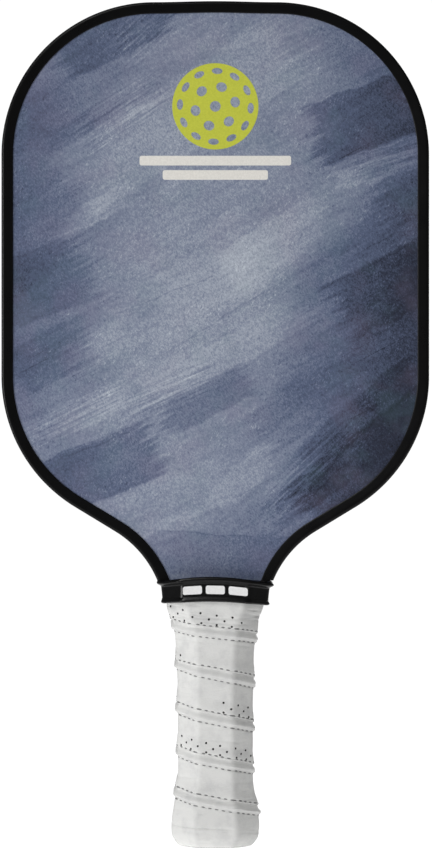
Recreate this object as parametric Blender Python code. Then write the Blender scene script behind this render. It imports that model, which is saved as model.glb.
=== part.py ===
"""Pickleball paddle: a honeycomb-cored sandwich head in a plastic edge guard, on an octagonal wrapped
handle with a butt cap and an elastic rubber collar at the neck.

Sizes are in millimetres and become metres where a mesh is made. The origin is the centre of the butt
end, +Z runs up the handle to the top of the head, +X is to the right and the front face looks along -Y.
"""

import math

import bmesh
import bpy
from mathutils import Matrix, Vector

METRES_PER_MM = 0.001

# Head outline: a flat top and straight sides joined by round corners, then two round shoulders,
# two straight flanks and two hollow throat curves down to the neck.
HALF_WIDTH = 101.6
LENGTH = 401.0
CORNER_RADIUS = 72.5
SHOULDER_RADIUS = 72.6
SHOULDER_Z = 223.2
FLANK_SLOPE = math.radians(31.3)
FLANK_LENGTH = 22.4
THROAT_RADIUS = 49.6
NECK_Z = 126.5
ARC_STEP = math.radians(6.0)

# Head sandwich, as distances from the middle plane.
CORE_HALF = 5.7
FILM_INNER, FILM_OUTER = 5.8, 5.95
SHEET_INNER, SHEET_OUTER = 6.05, 6.6
PALLET_INNER = 6.8

# Honeycomb cells, right through the core.
CELL_PITCH = 18.0
CELL_WALL = 0.9
CELL_EDGE_MARGIN = 2.5

# Edge guard: a U channel whose web wraps the panel's edge and whose lips lie over both face sheets.
EDGE_INSET = 1.4
GLUE_INNER, GLUE_OUTER, GLUE_HALF = 0.1, 0.3, 6.0
GUARD_WEB_INNER = 0.4
GUARD_HALF = 7.85
GUARD_LIP_INNER_Y = 6.75
GUARD_LIP = 4.1

# Tongue of the panel inside the handle, and the neck that the collar covers: half width at a height.
TONGUE_HALF = 11.0
TONGUE_Z = 10.0
NECK_EDGE = [
    (TONGUE_HALF, TONGUE_Z),
    (TONGUE_HALF, 104.0),
    (13.0, 108.0),
    (16.0, 112.0),
    (17.6, 116.0),
    (19.5, 119.2),
    (23.6, 119.7),
    (23.7, 122.8),
    (24.9, 124.8),
]

# Bare handle, without its grip: height, half width, half depth and bevel of the octagon.
HANDLE_STATIONS = [
    (0.0, 16.4, 13.9, 8.5),
    (2.2, 17.5, 14.9, 8.9),
    (6.0, 19.3, 16.6, 9.7),
    (13.0, 19.1, 16.5, 9.7),
    (20.0, 18.1, 15.4, 9.3),
    (27.0, 16.9, 14.3, 8.9),
    (35.0, 16.25, 13.7, 8.6),
    (50.0, 16.2, 13.6, 8.5),
    (72.0, 16.3, 13.6, 8.5),
    (88.0, 16.7, 13.6, 8.5),
    (98.0, 17.4, 13.6, 8.5),
    (104.0, 18.2, 13.6, 8.5),
    (109.0, 19.5, 13.6, 8.5),
    (113.0, 21.1, 13.6, 8.5),
    (118.8, 22.0, 13.6, 8.5),
]
NECK_SECTION = (23.7, 15.3, 8.7)
OCTAGON_ROUNDING = 2.5
BEVEL_PER_OFFSET = 2.0 - math.sqrt(2.0)

# The neck's pieces rise towards the middle of each face, by this much at most.
ARCH_RISE = 1.8
ARCH_HALF_WIDTH = 24.0
ARCH_FROM_Z, ARCH_FULL_Z = 100.0, 119.0

GAP = 0.3
GRIP_THICKNESS = 1.4
GRIP_TOP_Z = 118.5
CAP_WALL = 2.0
CAP_FLOOR = 2.2
CAP_TOP_Z = 26.0
SPLIT_GAP = 0.15

BADGE_RADIUS = 12.7
BADGE_THICKNESS = 0.3
BADGE_LIFT = 0.1
BADGE_RECESS = 0.7
ROUND_SEGMENTS = 40

STAPLE_WIDTH = 7.0
STAPLE_WIRE_X, STAPLE_WIRE_Y, STAPLE_WIRE_Z = 0.9, 0.6, 1.2
STAPLE_LEG = 7.0
STAPLE_Z = 15.0
STAPLE_X = 5.2
STAPLE_CROWN_Y = 15.75
STAPLE_CLEARANCE = 0.3

TAPE_BOTTOM_Z, TAPE_TOP_Z = 116.0, 122.5
TAPE_THICKNESS = 0.3

# Rubber collar, from its bottom edge up the outside and back down the inside: height above the bottom
# edge, half width and half depth.
COLLAR_BOTTOM_Z = 115.0
COLLAR_LOOP = [
    (0.0, 25.3, 16.9),
    (0.3, 25.85, 17.5),
    (1.0, 26.0, 17.7),
    (1.8, 25.75, 17.45),
    (2.5, 25.4, 17.2),
    (5.5, 25.4, 17.2),
    (8.2, 25.6, 17.3),
    (9.3, 26.6, 17.7),
    (9.9, 27.5, 18.1),
    (10.5, 27.75, 18.3),
    (11.0, 27.3, 18.0),
    (11.0, 26.7, 17.3),
    (9.6, 25.7, 16.7),
    (8.2, 24.65, 16.3),
    (0.0, 24.65, 16.3),
]
COLLAR_BEVEL = 9.4


def clear_scene():
    for obj in list(bpy.data.objects):
        bpy.data.objects.remove(obj)


def make_material(name, colour, roughness, metallic=0.0):
    material = bpy.data.materials.new(name)
    material.use_nodes = True
    shader = material.node_tree.nodes["Principled BSDF"]
    shader.inputs["Base Color"].default_value = (*colour, 1.0)
    shader.inputs["Roughness"].default_value = roughness
    shader.inputs["Metallic"].default_value = metallic
    return material


def add_object(name, bm, material):
    """An object of this bmesh, which is in millimetres, with its faces turned outwards."""
    bmesh.ops.recalc_face_normals(bm, faces=bm.faces)
    bmesh.ops.scale(bm, vec=Vector((1, 1, 1)) * METRES_PER_MM, verts=bm.verts)
    mesh = bpy.data.meshes.new(name)
    bm.to_mesh(mesh)
    bm.free()
    mesh.materials.append(material)
    mesh.shade_smooth()
    mesh.set_sharp_from_angle(angle=math.radians(30))
    obj = bpy.data.objects.new(name, mesh)
    bpy.context.scene.collection.objects.link(obj)
    return obj


def as_cutter(obj):
    obj.hide_render = True
    obj.display_type = "WIRE"
    return obj


def cut(obj, *cutters):
    for cutter in cutters:
        modifier = obj.modifiers.new(f"cut_{cutter.name}", "BOOLEAN")
        modifier.operation = "DIFFERENCE"
        modifier.solver = "EXACT"
        modifier.object = cutter


# Outlines in the X-Z plane ---------------------------------------------------------------------------


def arc(centre, radius, start, end):
    """Points from angle start to angle end, both included."""
    steps = max(2, round(abs(end - start) / ARC_STEP))
    angles = [start + (end - start) * i / steps for i in range(steps + 1)]
    return [(centre[0] + radius * math.cos(a), centre[1] + radius * math.sin(a)) for a in angles]


def head_half(inset):
    """The right half of the head's outline moved in by inset, from the neck up to the flat top."""
    corner = (HALF_WIDTH - CORNER_RADIUS, LENGTH - CORNER_RADIUS)
    shoulder = (HALF_WIDTH - SHOULDER_RADIUS, SHOULDER_Z)
    flank_angle = FLANK_SLOPE - math.pi / 2
    flank_x = shoulder[0] + SHOULDER_RADIUS * math.cos(flank_angle) - FLANK_LENGTH * math.cos(FLANK_SLOPE)
    flank_z = shoulder[1] + SHOULDER_RADIUS * math.sin(flank_angle) - FLANK_LENGTH * math.sin(FLANK_SLOPE)
    throat = (
        flank_x + THROAT_RADIUS * math.sin(FLANK_SLOPE),
        flank_z - THROAT_RADIUS * math.cos(FLANK_SLOPE),
    )
    throat_radius = THROAT_RADIUS + inset
    neck_angle = math.pi - math.asin((NECK_Z - throat[1]) / throat_radius)
    return (
        arc(throat, throat_radius, neck_angle, math.pi / 2 + FLANK_SLOPE)
        + arc(shoulder, SHOULDER_RADIUS - inset, flank_angle, 0.0)
        + arc(corner, CORNER_RADIUS - inset, 0.0, math.pi / 2)
    )


def panel_outline(grow=0.0):
    """The closed outline of the sandwich panel, tongue included, moved out by grow."""
    neck = [(x + grow, z) for x, z in NECK_EDGE]
    neck[0] = (neck[0][0], neck[0][1] - grow)
    half = neck + head_half(EDGE_INSET - grow)
    return half + [(-x, z) for x, z in reversed(half)]


def inside(point, outline):
    """True if the point is inside the closed outline."""
    x, z = point
    found = False
    for (ax, az), (bx, bz) in zip(outline, outline[1:] + outline[:1]):
        if (az > z) != (bz > z) and x < ax + (z - az) * (bx - ax) / (bz - az):
            found = not found
    return found


# Solids ----------------------------------------------------------------------------------------------


def plate(name, outlines, near_y, far_y, material):
    """A flat plate between two Y planes. The first outline is its edge and the others are holes."""
    bm = bmesh.new()
    edges = []
    for outline in outlines:
        verts = [bm.verts.new((x, near_y, z)) for x, z in outline]
        edges += [bm.edges.new(pair) for pair in zip(verts, verts[1:] + verts[:1])]
    filled = bmesh.ops.triangle_fill(bm, edges=edges, use_beauty=True, normal=(0, -1, 0))
    faces = [item for item in filled["geom"] if isinstance(item, bmesh.types.BMFace)]
    pushed = bmesh.ops.extrude_face_region(bm, geom=faces, use_keep_orig=True)
    moved = [item for item in pushed["geom"] if isinstance(item, bmesh.types.BMVert)]
    bmesh.ops.translate(bm, verts=moved, vec=(0, far_y - near_y, 0))
    return add_object(name, bm, material)


def skin(name, rings, material, hollow=False):
    """A solid through equal rings of points: capped at both ends, or closed into a sleeve if hollow."""
    bm = bmesh.new()
    made = [[bm.verts.new(point) for point in ring] for ring in rings]
    pairs = list(zip(made, made[1:]))
    if hollow:
        pairs.append((made[-1], made[0]))
    else:
        bm.faces.new(made[0])
        bm.faces.new(made[-1])
    for low, high in pairs:
        for i in range(len(low)):
            j = (i + 1) % len(low)
            bm.faces.new((low[i], low[j], high[j], high[i]))
    return add_object(name, bm, material)


def channel(name, profile, material):
    """A strip round the head: profile is a closed loop of (distance out from the panel's edge, Y)."""
    bm = bmesh.new()
    rows = []
    for out, y in profile:
        half = head_half(EDGE_INSET - out)
        whole = half + [(-x, z) for x, z in reversed(half)]
        rows.append([bm.verts.new((x, y, z)) for x, z in whole])
    for low, high in zip(rows, rows[1:] + rows[:1]):
        for i in range(len(low) - 1):
            bm.faces.new((low[i], low[i + 1], high[i + 1], high[i]))
    bm.faces.new([row[0] for row in rows])
    bm.faces.new([row[-1] for row in rows])
    return add_object(name, bm, material)


def arch(x, z):
    """How far the neck's pieces rise at this place."""
    share = min(1.0, max(0.0, (z - ARCH_FROM_Z) / (ARCH_FULL_Z - ARCH_FROM_Z)))
    return ARCH_RISE * share * share * (3 - 2 * share) * max(0.0, 1 - (x / ARCH_HALF_WIDTH) ** 2)


def octagon(half_x, half_y, bevel, z, rounding=OCTAGON_ROUNDING, base_z=0.0):
    """A ring of an octagon with rounded corners at height z, arched as the neck is, less base_z."""
    corners = [
        (half_x, bevel - half_y),
        (half_x, half_y - bevel),
        (half_x - bevel, half_y),
        (bevel - half_x, half_y),
        (-half_x, half_y - bevel),
        (-half_x, bevel - half_y),
        (bevel - half_x, -half_y),
        (half_x - bevel, -half_y),
    ]
    tangent = rounding * math.tan(math.pi / 8)
    sag = rounding / math.cos(math.pi / 8) - rounding
    ring = []
    for before, corner, after in zip(corners[-1:] + corners[:-1], corners, corners[1:] + corners[:1]):
        here = Vector(corner)
        back = (Vector(before) - here).normalized()
        ahead = (Vector(after) - here).normalized()
        inward = (back + ahead).normalized()
        ring += [here + back * tangent, here + inward * sag, here + ahead * tangent]
    return [(p.x, p.y, z + arch(p.x, z) - base_z) for p in ring]


def handle_size(z):
    """Half width, half depth and bevel of the bare handle at height z, on a smooth curve."""
    stations = [HANDLE_STATIONS[0], *HANDLE_STATIONS, HANDLE_STATIONS[-1]]
    z = min(max(z, HANDLE_STATIONS[0][0]), HANDLE_STATIONS[-1][0])
    for p0, p1, p2, p3 in zip(stations, stations[1:], stations[2:], stations[3:]):
        if z <= p2[0]:
            break
    t = (z - p1[0]) / (p2[0] - p1[0])
    size = []
    for a, b, c, d in zip(p0[1:], p1[1:], p2[1:], p3[1:]):
        start_slope = (c - a) * (p2[0] - p1[0]) / (p2[0] - p0[0])
        end_slope = (d - b) * (p2[0] - p1[0]) / (p3[0] - p1[0])
        size.append(
            b * (2 * t**3 - 3 * t**2 + 1)
            + start_slope * (t**3 - 2 * t**2 + t)
            + c * (3 * t**2 - 2 * t**3)
            + end_slope * (t**3 - t**2)
        )
    return size


def grown(size, offset):
    """Half width, half depth and bevel of a section whose every side is moved out by offset."""
    half_x, half_y, bevel = size
    return half_x + offset, half_y + offset, bevel + offset * BEVEL_PER_OFFSET


def handle_ring(z, offset=0.0):
    return octagon(*grown(handle_size(z), offset), z)


def neck_ring(z, offset=0.0):
    return octagon(*grown(NECK_SECTION, offset), z)


def box(name, low, high, material):
    """A block between two corners."""
    bm = bmesh.new()
    bmesh.ops.create_cube(bm, size=1.0)
    low, high = Vector(low), Vector(high)
    bmesh.ops.scale(bm, vec=high - low, verts=bm.verts)
    bmesh.ops.translate(bm, vec=(low + high) / 2, verts=bm.verts)
    return add_object(name, bm, material)


def disc(name, radius, low_z, high_z, material):
    """A round disc on the Z axis."""
    bm = bmesh.new()
    bmesh.ops.create_cone(
        bm, cap_ends=True, segments=ROUND_SEGMENTS, radius1=radius, radius2=radius, depth=high_z - low_z
    )
    bmesh.ops.translate(bm, vec=(0, 0, (low_z + high_z) / 2), verts=bm.verts)
    return add_object(name, bm, material)


# Sub-parts -------------------------------------------------------------------------------------------


def honeycomb_cells():
    """The hexagons that fit inside the panel, with a solid margin along its edge."""
    edge = panel_outline(grow=-CELL_EDGE_MARGIN)
    radius = (CELL_PITCH - CELL_WALL) / math.sqrt(3.0)
    row_height = CELL_PITCH * math.sqrt(3.0) / 2
    cells = []
    for row in range(math.ceil(LENGTH / row_height)):
        shift = CELL_PITCH / 2 if row % 2 else 0.0
        for column in range(-7, 8):
            x = column * CELL_PITCH + shift
            z = TONGUE_Z + row * row_height
            corners = [math.radians(30 + 60 * k) for k in range(6)]
            cell = [(x + radius * math.cos(a), z + radius * math.sin(a)) for a in corners]
            if all(inside(corner, edge) for corner in cell):
                cells.append(cell)
    return cells


def make_head(materials):
    edge = panel_outline()
    plate(
        "honeycomb_core", [edge, *honeycomb_cells()], -CORE_HALF, CORE_HALF, materials["honeycomb"]
    )
    for side, name in ((-1, "front"), (1, "rear")):
        plate(f"{name}_adhesive_film", [edge], side * FILM_INNER, side * FILM_OUTER, materials["film"])
        plate(f"{name}_face_sheet", [edge], side * SHEET_INNER, side * SHEET_OUTER, materials["face"])


def make_edge_guard(materials):
    glue = [
        (GLUE_INNER, -GLUE_HALF),
        (GLUE_OUTER, -GLUE_HALF),
        (GLUE_OUTER, GLUE_HALF),
        (GLUE_INNER, GLUE_HALF),
    ]
    channel("edge_guard_adhesive", glue, materials["film"])
    front = [
        (-GUARD_LIP, -GUARD_LIP_INNER_Y),
        (0.1 - GUARD_LIP, 0.5 - GUARD_HALF),
        (0.5 - GUARD_LIP, 0.15 - GUARD_HALF),
        (0.0, -GUARD_HALF),
        (0.8, 0.3 - GUARD_HALF),
        (EDGE_INSET - 0.15, 1.1 - GUARD_HALF),
        (EDGE_INSET, 2.4 - GUARD_HALF),
    ]
    rear = [(out, -y) for out, y in reversed(front)]
    web = [(GUARD_WEB_INNER, GUARD_LIP_INNER_Y), (GUARD_WEB_INNER, -GUARD_LIP_INNER_Y)]
    channel("edge_guard", front + rear + web, materials["guard"])


def staple_outline(clearance):
    """The U of a staple seen from above, its crown at Y 0 and its legs along +Y."""
    out = STAPLE_WIDTH / 2 + clearance
    into = STAPLE_WIDTH / 2 - STAPLE_WIRE_X - clearance
    crown = STAPLE_WIRE_Y + clearance
    tip = STAPLE_LEG + clearance
    top = -STAPLE_LEG if clearance else 0.0
    return [(-out, top), (out, top), (out, tip), (into, tip), (into, crown), (-into, crown), (-into, tip), (-out, tip)]


def staple(name, x, side, clearance, material):
    """A staple driven through the butt cap from the front (side -1) or the rear (side 1)."""
    bm = bmesh.new()
    half = STAPLE_WIRE_Z / 2 + clearance
    face = bm.faces.new([bm.verts.new((u, v, -half)) for u, v in staple_outline(clearance)])
    pushed = bmesh.ops.extrude_face_region(bm, geom=[face], use_keep_orig=True)
    moved = [item for item in pushed["geom"] if isinstance(item, bmesh.types.BMVert)]
    bmesh.ops.translate(bm, verts=moved, vec=(0, 0, 2 * half))
    obj = add_object(name, bm, material)
    obj.location = Vector((x, side * STAPLE_CROWN_Y, STAPLE_Z)) * METRES_PER_MM
    obj.rotation_euler.z = math.pi if side > 0 else 0.0
    return obj


def make_staples(materials):
    """Four staples, and the slots that they need in the cap and the pallets."""
    slots = []
    places = [(side, x) for side in (-1, 1) for x in (-STAPLE_X, STAPLE_X)]
    for number, (side, x) in enumerate(places, start=1):
        staple(f"butt_cap_staple_{number}", x, side, 0.0, materials["staple"])
        slot = staple(f"staple_slot_{number}", x, side, STAPLE_CLEARANCE, materials["staple"])
        slots.append(as_cutter(slot))
    return slots


def make_pallets(materials, slots):
    """Two half shells that clamp the tongue and give the handle its octagon."""
    inner = -CAP_WALL - GAP
    rings = [handle_ring(z, inner) for z in (CAP_FLOOR + GAP, 8.0, 14.0, 20.0, CAP_TOP_Z)]
    rings += [handle_ring(z) for z in (CAP_TOP_Z + GAP, 30, 35, 50, 72, 88, 95, 101, 106, 110, 114, 119.7)]
    rings += [neck_ring(120.1), neck_ring(122.8), neck_ring(124.6, 0.5), neck_ring(126.0, 0.3)]
    tongue = plate(
        "tongue_slot", [panel_outline(grow=GAP)], -PALLET_INNER, PALLET_INNER, materials["pallet"]
    )
    reach = 2 * HALF_WIDTH
    for side, name in ((-1, "front"), (1, "rear")):
        pallet = skin(f"{name}_handle_pallet", rings, materials["pallet"])
        low_y, high_y = sorted((side * SPLIT_GAP, -side * reach))
        half = box(f"{name}_half", (-reach, low_y, -reach), (reach, high_y, reach), materials["pallet"])
        near = [slot for slot in slots if slot.location.y * side > 0]
        cut(pallet, as_cutter(half), as_cutter(tongue), *near)


def make_butt_cap(materials, slots):
    """A flared cup over the handle's end, with a round recess under it for the badge."""
    outer = [handle_ring(0.0, -0.5)] + [handle_ring(z) for z in (0.6, 2.2, 4, 8, 12, 16, 20, CAP_TOP_Z)]
    inner = [handle_ring(z, -CAP_WALL) for z in (CAP_TOP_Z, 20.0, 14.0, 8.0, CAP_FLOOR)]
    cap = skin("butt_cap", outer + inner, materials["cap"])
    recess = disc("badge_recess", BADGE_RADIUS + GAP, -CAP_FLOOR, BADGE_RECESS, materials["cap"])
    cut(cap, as_cutter(recess), *slots)
    badge = disc("butt_cap_badge", BADGE_RADIUS, 0.0, BADGE_THICKNESS, materials["badge"])
    badge.location.z = BADGE_LIFT * METRES_PER_MM


def make_grip(materials):
    """The wrapped cushion grip as one plain sleeve, and the tape that holds its upper end."""
    heights = [2.2, 4, 8, 12, 16, 20, 25, 30, 36, 50, 72, 88, 95, 101, 106, 110, 114, GRIP_TOP_Z]
    outside = GAP + GRIP_THICKNESS
    outer = [handle_ring(0.3, outside - 0.8), handle_ring(1.2, outside - 0.2)]
    outer += [handle_ring(z, outside) for z in heights]
    inner = [handle_ring(z, GAP) for z in reversed([0.3, *heights])]
    skin("cushion_grip", outer + inner, materials["grip"], hollow=True)
    tape = [
        neck_ring(TAPE_BOTTOM_Z, GAP + TAPE_THICKNESS),
        neck_ring(TAPE_TOP_Z, GAP + TAPE_THICKNESS),
        neck_ring(TAPE_TOP_Z, GAP),
        neck_ring(TAPE_BOTTOM_Z, GAP),
    ]
    skin("finishing_tape", tape, materials["tape"], hollow=True)


def make_collar(materials):
    """The elastic band over the neck. It slides down the grip along Z, from an empty on that axis."""
    slide = bpy.data.objects.new("collar_slide", None)
    slide.location.z = COLLAR_BOTTOM_Z * METRES_PER_MM
    bpy.context.scene.collection.objects.link(slide)
    rings = [
        octagon(half_x, half_y, COLLAR_BEVEL, COLLAR_BOTTOM_Z + rise, base_z=COLLAR_BOTTOM_Z)
        for rise, half_x, half_y in COLLAR_LOOP
    ]
    collar = skin("rubber_collar", rings, materials["rubber"], hollow=True)
    collar.parent = slide


def main():
    clear_scene()
    materials = {
        "honeycomb": make_material("polypropylene_honeycomb", (0.72, 0.74, 0.74), 0.5),
        "film": make_material("adhesive", (0.62, 0.55, 0.36), 0.35),
        "face": make_material("printed_fibreglass", (0.19, 0.22, 0.31), 0.55),
        "guard": make_material("black_edge_plastic", (0.006, 0.006, 0.007), 0.38),
        "pallet": make_material("handle_foam", (0.03, 0.03, 0.032), 0.8),
        "cap": make_material("butt_cap_plastic", (0.008, 0.008, 0.009), 0.45),
        "badge": make_material("badge_vinyl", (0.46, 0.48, 0.07), 0.4),
        "staple": make_material("staple_steel", (0.6, 0.6, 0.6), 0.3, 1.0),
        "grip": make_material("white_grip", (0.75, 0.75, 0.75), 0.6),
        "tape": make_material("finishing_tape", (0.02, 0.02, 0.02), 0.4),
        "rubber": make_material("black_rubber", (0.006, 0.006, 0.007), 0.5),
    }
    make_head(materials)
    make_edge_guard(materials)
    slots = make_staples(materials)
    make_pallets(materials, slots)
    make_butt_cap(materials, slots)
    make_grip(materials)
    make_collar(materials)


main()
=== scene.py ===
"""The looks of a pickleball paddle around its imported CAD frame.

Shapes are worked out in millimetres, in the frame of the CAD: origin at the centre of the butt end, +Z up
the handle to the head, front face towards -Y. Meshes are scaled to metres when they are made.
"""

import math

import bmesh
import bpy
import numpy as np
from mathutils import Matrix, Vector

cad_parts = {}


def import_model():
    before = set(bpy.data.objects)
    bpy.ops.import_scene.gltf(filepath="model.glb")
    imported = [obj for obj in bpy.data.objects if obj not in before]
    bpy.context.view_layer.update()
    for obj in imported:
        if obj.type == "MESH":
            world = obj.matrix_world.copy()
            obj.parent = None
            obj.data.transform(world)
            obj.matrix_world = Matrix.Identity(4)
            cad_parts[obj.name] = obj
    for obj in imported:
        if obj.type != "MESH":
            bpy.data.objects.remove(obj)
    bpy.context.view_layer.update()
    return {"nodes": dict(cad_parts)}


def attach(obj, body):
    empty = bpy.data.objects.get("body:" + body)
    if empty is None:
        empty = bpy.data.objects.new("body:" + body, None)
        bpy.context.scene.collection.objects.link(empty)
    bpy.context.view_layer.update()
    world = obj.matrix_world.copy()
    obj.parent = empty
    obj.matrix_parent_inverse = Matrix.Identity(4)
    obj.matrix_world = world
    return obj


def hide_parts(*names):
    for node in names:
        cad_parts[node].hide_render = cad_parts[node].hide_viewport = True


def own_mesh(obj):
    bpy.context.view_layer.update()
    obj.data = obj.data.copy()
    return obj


MM = 0.001
rng = np.random.default_rng(7)

# Head outline and edge guard.
HALF_WIDTH = 101.6
LENGTH = 401.0
TOP_CROWN = 0.5
CORNER_RADIUS = 72.5
SHOULDER_RADIUS = 72.6
SHOULDER_Z = 223.2
FLANK_SLOPE = math.radians(31.3)
FLANK_LENGTH = 22.4
THROAT_RADIUS = 49.6
NECK_Z, NECK_OVERLAP = 126.3, 1.3
NECK_OVERLAP_INSETS = (1.6, 3.2)
THROAT_STEPS, SHOULDER_STEPS, CORNER_STEPS, CROWN_STEPS = 48, 52, 72, 12
FACE_Y = 6.6

# Bare handle: height, half width, half depth and bevel of the octagon.
HANDLE_STATIONS = [
    (0.0, 16.4, 13.9, 8.5),
    (2.2, 17.5, 14.9, 8.9),
    (6.0, 19.3, 16.6, 9.7),
    (13.0, 19.1, 16.5, 9.7),
    (20.0, 18.1, 15.4, 9.3),
    (27.0, 16.9, 14.3, 8.9),
    (35.0, 16.25, 13.7, 8.6),
    (50.0, 16.2, 13.6, 8.5),
    (72.0, 16.3, 13.6, 8.5),
    (88.0, 16.7, 13.6, 8.5),
    (98.0, 17.4, 13.6, 8.5),
    (104.0, 18.2, 13.6, 8.5),
    (109.0, 19.5, 13.6, 8.5),
    (113.0, 21.1, 13.6, 8.5),
    (118.8, 22.0, 13.6, 8.5),
]
OCTAGON_ROUNDING = 2.5
OCTAGON_CORNER_POINTS = 7
SECTION_STEP, SECTION_TOP = 0.5, 125.0
SECTION_COUNT = 480

# Grip wrap: one long tape wound down the handle. Its lower edge crosses the middle of the front at
# these heights, turn by turn, starting above the collar and running out below the butt.
WRAP_TURNS = np.arange(-1, 10)
WRAP_HEIGHTS = np.array([146.0, 125.2, 104.2, 84.8, 63.6, 43.2, 23.8, 3.6, -16.5, -36.5, -56.5])
WRAP_PITCH = 20.5
WRAP_BOTTOM, WRAP_TOP = 0.3, 118.5
WRAP_INNER, WRAP_OUTER = 0.3, 1.6
WRAP_END_TURN, WRAP_END_FADE = 5.5, 0.12
WRAP_LAST_ROW_TURN = 8
WRAP_COLUMNS = 240
LINING_HEIGHTS = [WRAP_TOP, 114, 110, 106, 101, 95, 88, 72, 50, 35, 27, 20, 13, 6, WRAP_BOTTOM]

# The first turn in sight lies flatter across the front: how much, and the turns where that comes and goes.
EASE, EASE_COMES, EASE_GOES = 1.25, (0.4, 0.9), (1.5, 2.1)

# Over the last stretch above the floor the tape thins as it rounds the foot.
FOOT_ROUNDING, FOOT_THINNING = 3.2, 1.2

# Relief of the tape, at distances below its lower edge: a ridge, and a lip where the next turn overlaps.
RIDGE_START, RIDGE_CREST, RIDGE_END, RIDGE_HEIGHT = 0.1, 3.3, 4.85, 1.3
LIP_START, LIP_FULL, LIP_DROP, LIP_HEIGHT = -7.0, -1.4, -0.35, 0.6
EDGE_STITCH, RIDGE_STITCH = -0.75, 5.15
EDGE_GROOVE, RIDGE_GROOVE = (0.2, 0.3), (0.24, 0.36)

# Mesh rows over one turn: from and to, in distance below the edge, and how many.
ROW_ZONES = [(0.0, 1.2, 8), (1.2, 4.4, 10), (4.4, 5.9, 9), (5.9, 13.0, 14), (13.0, 19.6, 15), (19.6, 20.5, 9)]

# Stretch creases: lowest and highest middle, how many, and the deepest.
CREASE_ZONES = [(105.0, 117.0, 34, 0.46), (2.5, 23.0, 38, 0.52), (24.0, 105.0, 60, 0.27)]

# Stitches: each thread is a short tube, whose ends sink into the tape. A row has its distance below the
# edge, its first turn and its threads' radius.
STITCH_PITCH, STITCH_LENGTH = 3.35, 1.9
STITCH_ROWS = [(EDGE_STITCH, 0.1, 0.34), (RIDGE_STITCH, -0.1, 0.27)]
THREAD_LIFT, THREAD_SINK, THREAD_FLATNESS = 0.14, 0.16, 0.8
THREAD_SIDES, THREAD_STATIONS = 6, 7
STITCH_LOW, STITCH_HIGH = 2.0, 117.0

# Perforations: the turns that have them, and their rows above the edge. Columns drift from turn to turn.
HOLE_SPANS = [(0.35, 1.12), (1.6, 1.845), (3.01, 4.5)]
HOLE_ROWS = [-6.3, -3.8, -1.6]
HOLE_COLUMNS, HOLE_DRIFT = 16, 4
HOLE_RADIUS = 0.52
HOLE_PROFILE = [(1.0, 0.04), (0.86, 0.16), (0.8, 0.9)]
HOLE_CORNERS = 12

# Rubber collar. Between its beads the band widens upwards, and its bevels grow by this much with it.
COLLAR_BOTTOM_Z = 115.0
COLLAR_BEVEL, COLLAR_ROUNDING = 9.4, 3.6
BAND_LOW, BAND_HIGH, BAND_TAPER = 2.4, 8.0, 0.7
COLLAR_ROWS, COLLAR_COLUMNS = 76, 208
COLLAR_TILT = math.radians(1.1)
ARCH_RISE, ARCH_GROWTH, ARCH_HALF_WIDTH = 1.7, 0.075, 24.0

# Its section: height above the bottom edge, half width, half depth, up the outside and down the inside.
COLLAR_LOOP = [
    (0.0, 25.0, 16.6),
    (0.05, 25.35, 17.05),
    (0.35, 25.68, 17.5),
    (0.75, 25.8, 17.72),
    (1.25, 25.68, 17.58),
    (1.75, 25.5, 17.38),
    (2.1, 25.3, 17.2),
    (2.4, 25.22, 17.1),
    (3.2, 25.28, 17.1),
    (5.0, 25.45, 17.13),
    (7.2, 25.7, 17.17),
    (8.0, 25.85, 17.2),
    (8.35, 26.15, 17.35),
    (8.7, 26.8, 17.72),
    (9.15, 27.55, 18.12),
    (9.6, 27.85, 18.38),
    (10.1, 27.78, 18.3),
    (10.6, 27.5, 18.1),
    (10.9, 27.2, 17.85),
    (11.0, 26.8, 17.55),
    (10.8, 26.45, 17.2),
    (9.6, 25.75, 16.85),
    (8.2, 24.85, 16.65),
    (4.0, 24.8, 16.62),
    (0.2, 24.8, 16.62),
]

# Bars printed on the collar: middles, width, height and rounding, and the planes between which they lie.
COLLAR_BARS_X, COLLAR_BARS_Z = (-10.8, 0.0, 10.8), COLLAR_BOTTOM_Z + 5.3
COLLAR_BAR = (9.0, 3.7, 0.9)
COLLAR_BARS_Y = (-16.9, -17.32)

# Marks printed on the faces: a ball whose rings of holes have a distance from the middle as a share of the
# radius, a count and a first place, over bars with a height above BARS_Z and a width.
BALL_Z, BALL_RADIUS, BALL_HOLE_RADIUS = 351.5, 20.5, 2.55
BALL_RINGS = [(0.0, 1, 0.0), (0.47, 6, 0.0), (0.82, 12, 0.5)]
BALL_TURN = math.radians(12)
BARS_Z = 322.3
FACE_BARS = [(3.4, 72.0), (-3.4, 50.0)]
BAR_HEIGHT, BAR_ROUNDING = 4.6, 1.0
INK_THICKNESS = 0.05

# Middle lightness of the printed face, from 0 to 1.
PRINT_LEVEL = 0.61

# Camera: distance in metres, then millimetres.
CAMERA_DISTANCE = 1.5
CAMERA_X, CAMERA_Z = 0.33, 200.6
VIEW_HEIGHT = 404.6

# Area lights, in metres: name, place, width and power in watts.
LIGHTS = [
    ("key_left", (-1.6, -1.1, 0.25), 0.9, 15),
    ("high_front", (-0.7, -1.8, 1.7), 1.2, 14),
    ("back_fill", (0.6, 2.0, 0.8), 1.4, 16),
]
LIGHT_TARGET = (0.0, 0.0, 0.2)

# Glow of the floor and the world, on the object and as the camera sees them, so that both look white.
FLOOR_HALF = 0.7
FLOOR_GLOW, FLOOR_SEEN = 0.44, 0.8
WORLD_GLOW, WORLD_SEEN = 0.16, 1.05


# Meshes ----------------------------------


def add_object(name, data):
    obj = bpy.data.objects.new(name, data)
    bpy.context.scene.collection.objects.link(obj)
    return obj


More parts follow.
